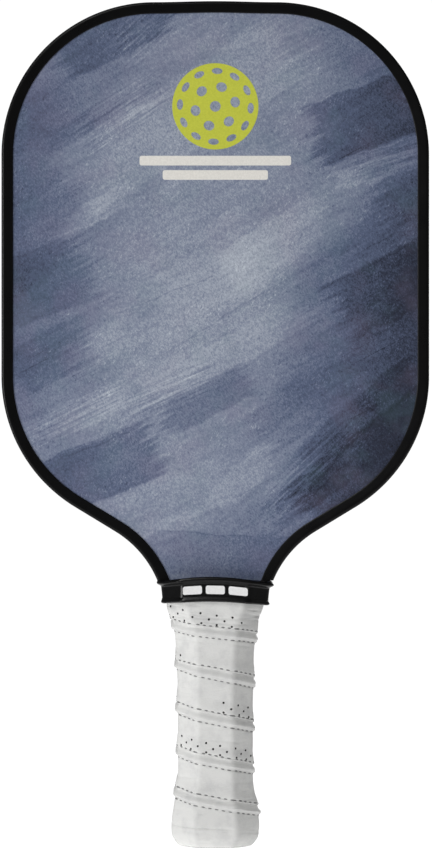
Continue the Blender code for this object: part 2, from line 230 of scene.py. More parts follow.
def add_piece(name, verts, faces, materials, body, smooth_angle=40):
    """A smooth-shaded piece, from points in millimetres, that rides on a body."""
    mesh = bpy.data.meshes.new(name)
    mesh.from_pydata((np.asarray(verts, float) * MM).tolist(), [], faces)
    for material in materials:
        mesh.materials.append(material)
    mesh.shade_smooth()
    mesh.set_sharp_from_angle(angle=math.radians(smooth_angle))
    obj = add_object(name, mesh)
    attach(obj, body)
    return obj


def face_outwards(obj):
    bm = bmesh.new()
    bm.from_mesh(obj.data)
    bmesh.ops.recalc_face_normals(bm, faces=bm.faces)
    bm.to_mesh(obj.data)
    bm.free()


def loft(rings, close_rows=False, cap=False):
    """Points and faces of a skin through rings with equal numbers of points."""
    rings = np.asarray(rings, float)
    rows, count = rings.shape[:2]
    faces = []
    for r in range(rows if close_rows else rows - 1):
        low, high = r * count, ((r + 1) % rows) * count
        for i in range(count):
            j = (i + 1) % count
            faces.append((low + i, low + j, high + j, high + i))
    if cap:
        faces.append(tuple(range(count - 1, -1, -1)))
        faces.append(tuple((rows - 1) * count + i for i in range(count)))
    return rings.reshape(-1, 3), faces


def smoothstep(x, low, high):
    t = np.clip((x - low) / (high - low), 0.0, 1.0)
    return t * t * (3 - 2 * t)


def spline(points, samples):
    """A smooth open curve through the points, as rows of values."""
    points = np.asarray(points, float)
    padded = np.vstack([2 * points[0] - points[1], points, 2 * points[-1] - points[-2]])
    at = np.linspace(0, len(points) - 1 - 1e-9, samples)
    k = at.astype(int)
    t = (at - k)[:, None]
    p0, p1, p2, p3 = padded[k], padded[k + 1], padded[k + 2], padded[k + 3]
    return 0.5 * (
        2 * p1 + (p2 - p0) * t + (2 * p0 - 5 * p1 + 4 * p2 - p3) * t**2 + (3 * p1 - p0 - 3 * p2 + p3) * t**3
    )


# Octagonal sections ----------------------


def octagon(half_x, half_y, bevel, count, rounding=OCTAGON_ROUNDING):
    """Evenly spaced points round a round-cornered octagon, from the middle of the front towards +X, and
    the angle of the outward normal at each, as count + 1 rows of x, y, angle."""
    inward = rounding / math.cos(math.pi / 8)
    corners = [
        (half_x - bevel, -half_y),
        (half_x, bevel - half_y),
        (half_x, half_y - bevel),
        (half_x - bevel, half_y),
        (bevel - half_x, half_y),
        (-half_x, half_y - bevel),
        (-half_x, bevel - half_y),
        (bevel - half_x, -half_y),
    ]
    path = [(0.0, -half_y, -math.pi / 2)]
    for k, (x, y) in enumerate(corners):
        start = -math.pi / 2 + k * math.pi / 4
        middle = start + math.pi / 8
        centre_x, centre_y = x - inward * math.cos(middle), y - inward * math.sin(middle)
        for angle in np.linspace(start, start + math.pi / 4, OCTAGON_CORNER_POINTS):
            path.append((centre_x + rounding * math.cos(angle), centre_y + rounding * math.sin(angle), angle))
    path.append((0.0, -half_y, 1.5 * math.pi))
    path = np.array(path)
    steps = np.hypot(np.diff(path[:, 0]), np.diff(path[:, 1]))
    run = np.concatenate([[0.0], np.cumsum(steps)])
    even = np.linspace(0.0, run[-1], count + 1)
    return np.stack([np.interp(even, run, path[:, k]) for k in range(3)], axis=1)


def section_table():
    """The bare handle's sections, one every SECTION_STEP of height."""
    stations = np.array(HANDLE_STATIONS)
    curve = spline(stations, samples=600)
    heights = np.arange(0.0, SECTION_TOP, SECTION_STEP)
    sizes = [np.interp(heights, curve[:, 0], curve[:, k]) for k in (1, 2, 3)]
    return np.array([octagon(x, y, b, SECTION_COUNT) for x, y, b in zip(*sizes)])


SECTIONS = section_table()


def on_handle(u, z, offset):
    """Points on the handle moved out by offset. u goes once round, from the middle of the front to +X."""
    row = np.clip(z / SECTION_STEP, 0, len(SECTIONS) - 1.001)
    column = (u % 1.0) * SECTION_COUNT
    r, c = row.astype(int), np.minimum(column.astype(int), SECTION_COUNT - 1)
    fr, fc = (row - r)[..., None], (column - c)[..., None]
    low = SECTIONS[r, c] * (1 - fc) + SECTIONS[r, c + 1] * fc
    high = SECTIONS[r + 1, c] * (1 - fc) + SECTIONS[r + 1, c + 1] * fc
    place = low * (1 - fr) + high * fr
    x = place[..., 0] + offset * np.cos(place[..., 2])
    y = place[..., 1] + offset * np.sin(place[..., 2])
    return np.stack([x, y, z], axis=-1), place[..., 2]


# Grip wrap -------------------------------

TURN_CURVE = spline(np.stack([WRAP_TURNS, WRAP_HEIGHTS], axis=1), samples=1200)


def turn_height(turn, u):
    """Height on the tape this many turns down; whole turns of its lower edge are at the front's middle."""
    eased = smoothstep(turn, *EASE_COMES) * (1 - smoothstep(turn, *EASE_GOES))
    return np.interp(turn, TURN_CURVE[:, 0], TURN_CURVE[:, 1]) + EASE * eased * np.sin(2 * math.pi * u)


def turn_at(height):
    """The inverse of turn_height, where the tape isn't eased."""
    return np.interp(-height, -TURN_CURVE[:, 1], TURN_CURVE[:, 0])


def wrap_rows():
    """Distances below the tape's edge, over one turn, at which the mesh has a row."""
    return np.concatenate([np.linspace(low, high, count, endpoint=False) for low, high, count in ROW_ZONES])


def seam_strength(turn):
    """1 along the tape, and 0 past its start at the butt, which is wound under and has no edge."""
    return 1 - smoothstep(turn, WRAP_END_TURN - WRAP_END_FADE, WRAP_END_TURN)


def groove(distance, depth, width):
    """A shallow groove where a row of stitches pulls the tape in."""
    return depth * np.exp(-((distance / width) ** 2))


def wrap_relief(below, turn):
    """How proud the tape stands at a distance below its edge, where the edge has made these turns."""
    above = below - WRAP_PITCH
    rise = smoothstep(below, RIDGE_START, RIDGE_CREST)
    fall = 1 - smoothstep(below, RIDGE_CREST, RIDGE_END)
    ridge = RIDGE_HEIGHT * rise * fall - groove(below - RIDGE_STITCH, *RIDGE_GROOVE)
    lip = LIP_HEIGHT * smoothstep(above, LIP_START, LIP_FULL) * (1 - smoothstep(above, LIP_DROP, 0.0))
    lip -= groove(above - EDGE_STITCH, *EDGE_GROOVE)
    return ridge * seam_strength(turn) + lip * seam_strength(turn + 1)


def creases(u, z):
    """Fine stretch creases: many round the flared butt and under the collar, a few between."""
    depth = np.zeros_like(z)
    for low, high, count, strongest in CREASE_ZONES:
        for _ in range(count):
            centre_u, centre_z = rng.random(), rng.uniform(low, high)
            reach, width = rng.uniform(0.04, 0.18), rng.uniform(0.3, 0.75)
            slope, bow = rng.uniform(-16, 2), rng.uniform(-20, 20)
            strength = strongest * rng.uniform(0.35, 1.0)
            du = (u - centre_u + 0.5) % 1.0 - 0.5
            near = np.abs(du) < reach
            line = centre_z + slope * du[near] + bow * du[near] ** 2
            fade = (1 - (du[near] / reach) ** 2) ** 2
            depth[near] -= strength * fade * np.exp(-(((z[near] - line) / width) ** 2))
    return depth


def slack(u, z):
    """Broad, shallow unevenness of a hand-wound tape."""
    turn = 2 * math.pi * u
    return 0.07 * np.sin(3 * turn + 0.21 * z) + 0.05 * np.sin(5 * turn - 0.37 * z + 1.3)


def wrap_offset(u, z, below, turn):
    """How far the tape's outside stands off the bare handle, without its creases."""
    rounded = np.clip((FOOT_ROUNDING - z) / (FOOT_ROUNDING - WRAP_BOTTOM), 0.0, 1.0)
    bottom = FOOT_THINNING * (1 - np.sqrt(1 - rounded**2))
    return WRAP_OUTER + wrap_relief(below, turn) + slack(u, z) - bottom


def hole_patches(rows, fractions):
    """Corners (column, row) of the 3 by 3 patches of faces that become perforations."""
    patches = []
    for first, last in HOLE_SPANS:
        for line, above in enumerate(HOLE_ROWS):
            start = int(np.argmin(np.abs(fractions - (WRAP_PITCH + above)))) - 1
            for column in range(int(first * WRAP_COLUMNS), int(last * WRAP_COLUMNS)):
                drifted = column + HOLE_DRIFT * ((column + WRAP_COLUMNS // 2) // WRAP_COLUMNS - 1)
                if drifted % HOLE_COLUMNS != (line % 2) * HOLE_COLUMNS // 2:
                    continue
                turns_above_edge = column // WRAP_COLUMNS - 1 - int(WRAP_TURNS[0])
                patches.append((column % WRAP_COLUMNS, turns_above_edge * rows + start))
    return patches


def add_hole(verts, loop, inner, out, skirts, walls):
    """A round perforation in a loop of corners: a skirt of faces round it, then its walls and its floor."""
    centre = np.mean([verts[v] for v in inner], axis=0)
    spokes = [np.array(verts[v]) - centre for v in loop]
    spokes = [spoke - out * float(spoke @ out) for spoke in spokes]
    rim = [HOLE_RADIUS * spoke / np.linalg.norm(spoke) for spoke in spokes]
    start = len(verts)
    for share, depth in HOLE_PROFILE:
        verts.extend(list(centre + share * spoke - out * depth) for spoke in rim)
    for k in range(HOLE_CORNERS):
        j = (k + 1) % HOLE_CORNERS
        skirts.append((loop[k], loop[j], start + j, start + k))
        for ring in (start, start + HOLE_CORNERS):
            walls.append((ring + k, ring + j, ring + HOLE_CORNERS + j, ring + HOLE_CORNERS + k))
    walls.append(tuple(start + 2 * HOLE_CORNERS + k for k in range(HOLE_CORNERS)))


def make_grip_wrap(materials):
    """The wound tape as one closed sleeve. Its mesh runs down the helix, so seams follow mesh rows."""
    fractions = wrap_rows()
    rows = len(fractions)
    turns = np.arange(WRAP_TURNS[0], WRAP_LAST_ROW_TURN)
    row_phase = (turns[:, None] + fractions[None, :] / WRAP_PITCH).ravel()
    u = np.arange(WRAP_COLUMNS) / WRAP_COLUMNS
    grid_u = np.broadcast_to(u, (len(row_phase), WRAP_COLUMNS))
    phase = np.clip(row_phase[:, None], turn_at(WRAP_TOP) - grid_u, turn_at(WRAP_BOTTOM) - grid_u)
    z = turn_height(phase + grid_u, grid_u)
    edge_turn = np.floor(phase + 1e-9)
    below = (phase - edge_turn) * WRAP_PITCH
    offset = wrap_offset(grid_u, z, below, edge_turn + grid_u) + creases(grid_u, z)
    points, angle = on_handle(grid_u, z, offset)

    def vertex(column, row):
        """Going once round leads from a row to the same row one turn further down."""
        return (row + rows * (column // WRAP_COLUMNS)) * WRAP_COLUMNS + column % WRAP_COLUMNS

    verts = points.reshape(-1, 3).tolist()
    normal = np.stack([np.cos(angle), np.sin(angle), np.zeros_like(angle)], axis=-1).reshape(-1, 3)
    flat_z = z.ravel()
    removed = set()
    skirts, walls = [], []
    for column, row in hole_patches(rows, fractions):
        border = [(column + k, row) for k in range(3)] + [(column + 3, row + k) for k in range(3)]
        border += [(column + 3 - k, row + 3) for k in range(3)] + [(column, row + 3 - k) for k in range(3)]
        loop = [vertex(*corner) for corner in border]
        if any(not WRAP_BOTTOM + 1 < flat_z[v] < WRAP_TOP - 0.2 for v in loop):
            continue
        removed |= {(column + i, row + k) for i in range(3) for k in range(3)}
        inner = [vertex(column + i, row + k) for i in (1, 2) for k in (1, 2)]
        add_hole(verts, loop, inner, normal[inner[0]], skirts, walls)

    faces = []
    for row in range(len(row_phase) - rows - 1):
        for column in range(WRAP_COLUMNS):
            quad = tuple(vertex(column + i, row + k) for i, k in ((0, 0), (0, 1), (1, 1), (1, 0)))
            heights = flat_z[list(quad)]
            outside = heights.min() > WRAP_TOP - 1e-4 or heights.max() < WRAP_BOTTOM + 1e-4
            in_hole = (column, row) in removed or (column + WRAP_COLUMNS, row - rows) in removed
            if not outside and not in_hole:
                faces.append(quad)
    lining, lining_faces = wrap_lining(u, points[0], points[-1])
    faces += skirts + [tuple(len(verts) + v for v in face) for face in lining_faces]
    verts += lining.tolist()
    wrap = add_piece("grip_wrap", verts, faces + walls, materials, "paddle", 60)
    # The perforations' walls and floors take the second material, their painted shade.
    slots = np.repeat([0, 1], [len(faces), len(walls)]).astype(np.int32)
    wrap.data.polygons.foreach_set("material_index", slots)
    merge_rims(wrap)
    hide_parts("cushion_grip")


def wrap_lining(u, top, bottom):
    """Points and faces of the sleeve's inside, from its top rim to its bottom rim."""
    rings = [on_handle(u, np.full(len(u), float(height)), WRAP_INNER)[0] for height in LINING_HEIGHTS]
    return loft([top, *rings, bottom])


def merge_rims(wrap):
    """Joins the points that coincide along both rims."""
    bm = bmesh.new()
    bm.from_mesh(wrap.data)
    bmesh.ops.remove_doubles(bm, verts=bm.verts, dist=2e-7)
    bmesh.ops.delete(bm, geom=[v for v in bm.verts if not v.link_faces], context="VERTS")
    bmesh.ops.recalc_face_normals(bm, faces=bm.faces)
    bm.to_mesh(wrap.data)
    bm.free()


def girth(z):
    """About how far it is round the wrapped handle, which widens towards both ends."""
    return 112.0 + max(0.0, z - 95.0) * 0.9 + max(0.0, 30.0 - z) * 0.6


def thread_rings(at, along, line, radius):
    """Rings of one thread, which runs along the tape at a distance, line, below its edge."""
    z = turn_height(at + line / WRAP_PITCH, at)
    over_edge = line < 0
    below = np.full(len(at), WRAP_PITCH + line if over_edge else line)
    offset = wrap_offset(at, z, below, at - 1 if over_edge else at)
    path, angle = on_handle(at, z, offset + THREAD_LIFT - THREAD_SINK * np.abs(along) ** 3)
    out = np.stack([np.cos(angle), np.sin(angle), np.zeros(len(at))], axis=1)
    ahead = np.gradient(path, axis=0)
    ahead /= np.linalg.norm(ahead, axis=1)[:, None]
    across = np.cross(ahead, out)
    thickness = radius * np.sqrt(1.02 - along**2)
    turned = 2 * math.pi * np.arange(THREAD_SIDES) / THREAD_SIDES
    outwards = np.cos(turned)[None, :, None] * out[:, None] * THREAD_FLATNESS
    sideways = np.sin(turned)[None, :, None] * across[:, None]
    return path[:, None] + thickness[:, None, None] * (outwards + sideways)


def make_stitching(material):
    """Short threads along the tape's edge and along the foot of the ridge."""
    verts, faces = [], []
    along = np.linspace(-1, 1, THREAD_STATIONS)
    for line, turn, radius in STITCH_ROWS:
        while turn < WRAP_END_TURN - 0.14:
            middle_z = float(turn_height(turn + line / WRAP_PITCH, turn))
            half = STITCH_LENGTH / 2 / girth(middle_z)
            turn += STITCH_PITCH / STITCH_LENGTH * 2 * half
            if STITCH_LOW < middle_z < STITCH_HIGH:
                points, thread_faces = loft(thread_rings(turn + along * half, along, line, radius), cap=True)
                faces += [tuple(len(verts) + v for v in face) for face in thread_faces]
                verts += points.tolist()
    stitching = add_piece("grip_stitching", verts, faces, [material], "paddle", 80)
    face_outwards(stitching)


# Collar ----------------------------------


def collar_place(x, y, z):
    """A collar point, arched up in the middle of each face and set a little out of level."""
    rise = ARCH_RISE + ARCH_GROWTH * (z - COLLAR_BOTTOM_Z)
    lift = rise * np.clip(1 - (x / ARCH_HALF_WIDTH) ** 2, 0, None) - x * math.tan(COLLAR_TILT)
    return np.stack([x, y, z + lift], axis=-1)


def make_collar(material):
    """The rubber band, with a bead along each edge."""
    rings = []
    for rise, half_x, half_y in spline(COLLAR_LOOP, samples=COLLAR_ROWS):
        taper = float(np.clip((rise - BAND_LOW) / (BAND_HIGH - BAND_LOW), 0, 1)) * BAND_TAPER
        ring = octagon(half_x, half_y, COLLAR_BEVEL + taper, COLLAR_COLUMNS, COLLAR_ROUNDING)[:-1]
        rings.append(collar_place(ring[:, 0], ring[:, 1], np.full(len(ring), COLLAR_BOTTOM_Z + rise)))
    verts, faces = loft(rings, close_rows=True)
    collar = add_piece("collar_band", verts, faces, [material], "collar", 60)
    face_outwards(collar)
    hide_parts("rubber_collar")
    soften_with_collar(collar)


def soften_with_collar(obj):
    """Gives the piece a mesh of its own, not shared with any other object."""
    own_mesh(obj)


def rounded_bar(x, z, width, height, radius):
    """The outline of a round-cornered bar in the X-Z plane."""
    points = []
    for k, (sx, sz) in enumerate([(1, 1), (-1, 1), (-1, -1), (1, -1)]):
        middle_x, middle_z = x + sx * (width / 2 - radius), z + sz * (height / 2 - radius)
        for angle in np.linspace(k * math.pi / 2, (k + 1) * math.pi / 2, 6):
            points.append((middle_x + radius * math.cos(angle), middle_z + radius * math.sin(angle)))
    return points


def plate(name, groups, near_y, far_y, material, body, slot, place=None):
    """Flat plates between two Y planes. Each group is an edge outline followed by its holes."""
    bm = bmesh.new()
    for outlines in groups:
        edges = []
        for outline in outlines:
            verts = [bm.verts.new((x, near_y, z)) for x, z in outline]
            edges += [bm.edges.new(pair) for pair in zip(verts, verts[1:] + verts[:1])]
        filled = bmesh.ops.triangle_fill(bm, edges=edges, use_beauty=True, normal=(0, -1, 0))
        faces = [item for item in filled["geom"] if isinstance(item, bmesh.types.BMFace)]
        pushed = bmesh.ops.extrude_face_region(bm, geom=faces, use_keep_orig=True)
        moved = [item for item in pushed["geom"] if isinstance(item, bmesh.types.BMVert)]
        bmesh.ops.translate(bm, verts=moved, vec=(0, far_y - near_y, 0))
    bmesh.ops.recalc_face_normals(bm, faces=bm.faces)
    bm.verts.index_update()
    verts = np.array([v.co for v in bm.verts])
    faces = [tuple(v.index for v in f.verts) for f in bm.faces]
    bm.free()
    if place:
        verts = place(*verts.T)
    return add_piece(name, verts, faces, [material], body, 30)


def make_collar_mark(material):
    """Three plain bars printed on the front of the collar."""
    bars = [[rounded_bar(x, COLLAR_BARS_Z, *COLLAR_BAR)] for x in COLLAR_BARS_X]
    mark = plate("collar_mark", bars, *COLLAR_BARS_Y, material, "collar", "collar", collar_place)
    soften_with_collar(mark)


# Head ------------------------------------


def arc(centre, radius, start, end, steps):
    angles = np.linspace(start, end, steps + 1)
    return [(centre[0] + radius * math.cos(a), centre[1] + radius * math.sin(a)) for a in angles]


def head_outline(inset, neck_z=NECK_Z):
    """The head's outline moved in by inset, from the neck on the right over the top to the left."""
    corner = (HALF_WIDTH - CORNER_RADIUS, LENGTH - CORNER_RADIUS)
    shoulder = (HALF_WIDTH - SHOULDER_RADIUS, SHOULDER_Z)
    flank_angle = FLANK_SLOPE - math.pi / 2
    flank_x = shoulder[0] + SHOULDER_RADIUS * math.cos(flank_angle) - FLANK_LENGTH * math.cos(FLANK_SLOPE)
    flank_z = shoulder[1] + SHOULDER_RADIUS * math.sin(flank_angle) - FLANK_LENGTH * math.sin(FLANK_SLOPE)
    throat = (
        flank_x + THROAT_RADIUS * math.sin(FLANK_SLOPE),
        flank_z - THROAT_RADIUS * math.cos(FLANK_SLOPE),
    )
    throat_radius = THROAT_RADIUS + inset
    neck_angle = math.pi - math.asin((neck_z - throat[1]) / throat_radius)
    half = arc(throat, throat_radius, neck_angle, math.pi / 2 + FLANK_SLOPE, THROAT_STEPS)
    half += arc(shoulder, SHOULDER_RADIUS - inset, flank_angle, 0.0, SHOULDER_STEPS)
    half += arc(corner, CORNER_RADIUS - inset, 0.0, math.pi / 2, CORNER_STEPS)
    top_x, top_z = half[-1]
    for share in np.arange(1, CROWN_STEPS + 1) / CROWN_STEPS:
        half.append((top_x * (1 - share), top_z + TOP_CROWN * math.sin(share * math.pi / 2) ** 2))
    return half + [(-x, z) for x, z in reversed(half[:-1])]


def guard_profile():
    """A closed loop of (inset from the outer edge, Y): two lips that thin inwards and a crowned web."""
    front = [(5.5, -6.75), (5.52, -6.95), (5.45, -7.12), (5.25, -7.24), (4.9, -7.3)]
    front += [(4.0, -7.45), (3.0, -7.63), (2.1, -7.78), (1.5, -7.84)]
    corner, corner_y = 1.35, -6.5
    for a in np.linspace(0.08, math.pi / 2 - 0.05, 9):
        front.append((corner * (1 - math.sin(a)), corner_y - corner * math.cos(a)))
    front += [(0.0, -6.0), (0.02, -3.0)]
    rear = [(inset, -y) for inset, y in reversed(front)]
    web = [(1.1, 6.75), (1.0, 6.4), (1.0, -6.4), (1.1, -6.75)]
    return front + [(0.03, 0.0)] + rear + web


def make_guard(material):
    """The edge guard: its profile swept round the head. Its lips reach a little further down the neck."""
    rows = []
    for inset, y in guard_profile():
        neck_z = NECK_Z - NECK_OVERLAP * float(smoothstep(inset, *NECK_OVERLAP_INSETS))
        outline = np.array(head_outline(inset, neck_z))
        rows.append(np.stack([outline[:, 0], np.full(len(outline), y), outline[:, 1]], axis=1))
    rows = np.array(rows)
    count = rows.shape[1]
    faces = []
    for r in range(len(rows)):
        low, high = r * count, ((r + 1) % len(rows)) * count
        faces += [(low + i, low + i + 1, high + i + 1, high + i) for i in range(count - 1)]
    faces.append(tuple(r * count for r in range(len(rows))))
    faces.append(tuple(r * count + count - 1 for r in reversed(range(len(rows)))))
    guard = add_piece("edge_guard_strip", rows.reshape(-1, 3), faces, [material], "paddle", 35)
    face_outwards(guard)
    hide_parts("edge_guard")


def ball_outlines():
    """A plain disc with round holes that narrow towards the rim, as a perforated ball looks."""
    circle = np.linspace(0, 2 * math.pi, 96, endpoint=False)
    small_circle = np.linspace(0, 2 * math.pi, 24, endpoint=False)
    outlines = [[(BALL_RADIUS * math.cos(a), BALL_Z + BALL_RADIUS * math.sin(a)) for a in circle]]
    for distance, count, first in BALL_RINGS:
        squeeze = math.sqrt(1 - distance**2)
        for k in range(count):
            direction = 2 * math.pi * (k + first) / count + BALL_TURN
            along = np.array([math.cos(direction), math.sin(direction)])
            across = np.array([-math.sin(direction), math.cos(direction)])
            centre = np.array([0.0, BALL_Z]) + along * distance * BALL_RADIUS
            ring = [squeeze * math.cos(a) * along + math.sin(a) * across for a in small_circle]
            outlines.append([tuple(centre + BALL_HOLE_RADIUS * step) for step in ring])
    return outlines


def make_face_marks(lime, white):
    """A ball symbol and two plain bars, printed on both faces."""
    bars = [[rounded_bar(0.0, BARS_Z + up, width, BAR_HEIGHT, BAR_ROUNDING)] for up, width in FACE_BARS]
    for side, name in ((-1, "front"), (1, "rear")):
        low, high = side * FACE_Y, side * (FACE_Y + INK_THICKNESS)
        plate(f"{name}_ball_symbol", [ball_outlines()], low, high, lime, "paddle", "face_sheet")
        plate(f"{name}_bars", bars, low, high, white, "paddle", "face_sheet")


# Materials -------------------------------


def linear(*srgb):
    """A colour given as 0 to 255 screen values, as linear light."""
    return tuple(((c / 255 + 0.055) / 1.055) ** 2.4 if c > 10 else c / 255 / 12.92 for c in srgb)


class Graph:
    """A material's nodes. Each method adds a node and gives its output socket."""

    def __init__(self, name, colour, roughness, **others):
        self.material = bpy.data.materials.new(name)
        self.material.use_nodes = True
        self.tree = self.material.node_tree
        self.shader = self.tree.nodes["Principled BSDF"]
        self.shader.inputs["Base Color"].default_value = (*colour, 1.0)
        self.shader.inputs["Roughness"].default_value = roughness
        for socket, value in others.items():
            self.shader.inputs[socket.replace("_", " ")].default_value = value
        coordinates = self.tree.nodes.new("ShaderNodeTexCoord").outputs["Object"]
        self.place = self.vector("SCALE", coordinates, Scale=1000.0)

    def add(self, kind, inputs, **settings):
        node = self.tree.nodes.new(kind)
        for key, value in settings.items():
            setattr(node, key, value)
        for key, value in inputs.items():
            if isinstance(value, bpy.types.NodeSocket):
                self.tree.links.new(value, node.inputs[key])
            else:
                node.inputs[key].default_value = value
        return node

    def vector(self, operation, *values, **named):
        inputs = dict(enumerate(values)) | named
        return self.add("ShaderNodeVectorMath", inputs, operation=operation).outputs[0]

    def length(self, vector):
        return self.add("ShaderNodeVectorMath", {0: vector}, operation="LENGTH").outputs["Value"]

    def math(self, operation, *values):
        return self.add("ShaderNodeMath", dict(enumerate(values)), operation=operation).outputs[0]

    def total(self, *values):
        result = values[0]
        for value in values[1:]:
            result = self.math("ADD", result, value)
        return result

    def scaled(self, value, factor, shift=0.0):
        """value * factor + shift."""
        return self.math("MULTIPLY_ADD", value, factor, shift)

    def stretch(self, vector, scale, turn):
        """The place turned about Y by turn degrees, then scaled axis by axis."""
        inputs = {"Vector": vector, "Angle": math.radians(turn)}
        turned = self.add("ShaderNodeVectorRotate", inputs, rotation_type="Y_AXIS").outputs[0]
        return self.vector("MULTIPLY", turned, scale)

    def x_and_z(self, vector):
        parts = self.add("ShaderNodeSeparateXYZ", {0: vector}).outputs
        return parts[0], parts[2]

    def noise(self, size, detail=3.0, roughness=0.55, vector=None, distortion=0.0):
        """Noise from 0 to 1 with features of about this size in millimetres."""
        inputs = {
            "Vector": vector or self.place,
            "Scale": 1.0 / size,
            "Detail": detail,
            "Roughness": roughness,
            "Distortion": distortion,
        }
        return self.add("ShaderNodeTexNoise", inputs).outputs[0]

    def pebbles(self, size):
        """Rounded cells of about this size in millimetres: 0 in their middles, rising to their edges."""
        inputs = {"Vector": self.place, "Scale": 1.0 / size}
        return self.add("ShaderNodeTexVoronoi", inputs, feature="SMOOTH_F1").outputs[0]

    def steps(self, value, *stops):
        """A colour ramp of (position, colour) stops."""
        node = self.add("ShaderNodeValToRGB", {0: value})
        elements = node.color_ramp.elements
        while len(elements) < len(stops):
            elements.new(1.0)
        for element, (position, colour) in zip(elements, stops):
            element.position = position
            element.color = (*colour, 1.0)
        return node.outputs[0]

    def window(self, value, low, high):
        """0 below low, 1 above high, smooth between."""
        inputs = {"Value": value, "From Min": low, "From Max": high}
        return self.add("ShaderNodeMapRange", inputs, interpolation_type="SMOOTHSTEP").outputs[0]

    def mix(self, share, a, b):
        """Colour a, with this share of colour b."""
        node = self.add("ShaderNodeMix", {0: share}, data_type="RGBA")
        for index, value in ((6, a), (7, b)):
            if isinstance(value, bpy.types.NodeSocket):
                self.tree.links.new(value, node.inputs[index])
            else:
                node.inputs[index].default_value = (*value, 1.0)
        return node.outputs[2]

    def finish(self, colour, roughness, height, depth):
        """Links what varies. height times depth is the bump in millimetres. Roughness may be left uniform."""
        self.tree.links.new(colour, self.shader.inputs["Base Color"])
        if roughness is not None:
            self.tree.links.new(roughness, self.shader.inputs["Roughness"])
        bump = self.add("ShaderNodeBump", {"Height": height, "Distance": depth * MM, "Strength": 1.0})
        self.tree.links.new(bump.outputs[0], self.shader.inputs["Normal"])
        return self.material


# Broad soft areas of the printed face: x, z, half length, half height, slope in degrees, lightness and
# softness of the edge as a share of the size.
SHADED = [
    (-8, 266, 62, 120, -14, 0.13, 0.85),
    (106, 238, 52, 104, -6, -0.31, 0.8),
    (-104, 292, 38, 84, 6, -0.15, 0.7),
    (-12, 262, 74, 13, 30, 0.05, 0.5),
    (-50, 240, 30, 16, 24, -0.04, 0.5),
    (56, 150, 60, 30, 30, -0.06, 0.7),
    (68, 378, 34, 12, -30, -0.07, 0.6),
]

# Brush strokes with crisp sides and ragged ends: x, z, half length, half height, slope, lightness.
STROKES = [
    (82, 350, 37, 15, 20, -0.18),
    (85, 324, 30, 5, 17, 0.10),
    (92, 306, 14, 9, 24, -0.06),
    (84, 266, 27, 15, 26, -0.10),
    (40, 292, 40, 12, 33, 0.06),
    (6, 389, 42, 10, 12, 0.04),
    (-48, 384, 27, 9, 26, -0.13),
    (-66, 352, 26, 14, 30, -0.05),
    (-18, 346, 60, 17, 33, 0.06),
    (-82, 268, 22, 16, 20, -0.09),
    (-60, 300, 16, 5, 30, 0.07),
    (-56, 237, 15, 8, 28, 0.04),
    (-80, 232, 20, 12, 28, -0.08),
    (-4, 212, 22, 8, 27, -0.13),
    (6, 234, 40, 8, 30, 0.05),
    (-70, 203, 30, 7, 24, 0.06),
    (-57, 178, 31, 14, 23, -0.18),
    (-20, 165, 26, 12, 22, 0.03),
    (34, 205, 17, 12, 40, -0.07),
    (26, 186, 34, 7, 42, 0.06),
    (68, 204, 34, 8, 40, -0.09),
    (72, 186, 40, 11, 38, -0.13),
    (44, 166, 20, 6, 36, -0.08),
    (14, 138, 46, 10, -3, -0.06),
    (-22, 152, 18, 5, 12, 0.05),
]

# Creases of the brush along a stroke's side: x, z, half length, slope, lightness.
HAIRLINES = [
    (66, 363, 20, 25, -0.08),
    (76, 331, 20, 16, 0.12),
    (72, 284, 18, 28, -0.14),
    (34, 275, 16, 35, -0.12),
    (4, 251, 30, 32, -0.13),
    (-24, 262, 26, 22, -0.12),
    (-70, 226, 8, 31, -0.17),
    (-60, 243, 7, 26, -0.15),
    (-66, 293, 14, 23, 0.09),
    (-12, 219, 20, 18, -0.10),
    (-53, 192, 20, 23, -0.14),
    (-50, 195.5, 26, 24, 0.12),
    (46, 180, 16, 43, -0.12),
    (50, 170, 18, 42, -0.10),
    (-12, 149, 24, -4, -0.11),
    (-40, 166, 20, 22, 0.06),
]

# Bristle marks: x, z, half length, half height, slope.
BRISTLES = [
    (83, 325, 18, 6, 17),
    (-34, 386, 15, 9, 42),
    (-68, 204, 24, 6, 26),
    (-46, 348, 24, 10, 33),
    (44, 178, 26, 8, 43),
    (-20, 216, 20, 7, 24),
]
BRUSH_SLOPE = math.radians(28)
SIDE_SOFTNESS, END_SOFTNESS = 0.9, 5.0


def ragged_place(g):
    """The place pushed to and fro along the brush by fine bristles, and a place pushed a little every way."""
    bristles = g.noise(1.0, 5.0, 0.62, g.stretch(g.place, (1 / 30, 1 / 30, 1 / 2.2), 28))
    along = (math.cos(BRUSH_SLOPE), 0.0, math.sin(BRUSH_SLOPE))
    push = g.vector("SCALE", along, Scale=g.scaled(bristles, 34.0, -17.0))
    wobble = g.add("ShaderNodeTexNoise", {"Vector": g.place, "Scale": 1 / 9, "Detail": 4.0}).outputs[1]
    wobble = g.vector("SCALE", g.vector("SUBTRACT", wobble, (0.5, 0.5, 0.5)), Scale=4.5)
    return g.vector("ADD", g.place, push), g.vector("ADD", g.place, wobble)


def soft_area(g, place, x, z, length, height, slope, edge):
    """1 inside a soft-edged oval, 0 outside."""
    local = g.stretch(g.vector("SUBTRACT", place, (x, 0.0, z)), (1 / length, 0.0, 1 / height), slope)
    away = g.length(local)
    return g.window(away, 1.0 + edge, 1.0 - edge)


def band(g, x_socket, z_socket, x, z, direction, half, softness):
    """1 within half of the point (x, z), measured in a direction in degrees, and 0 beyond."""
    cos, sin = math.cos(math.radians(direction)), math.sin(math.radians(direction))
    partial = g.scaled(x_socket, cos, -x * cos - z * sin)
    away = g.math("ABSOLUTE", g.scaled(z_socket, sin, partial))
    return g.window(away, half + softness, half - softness)


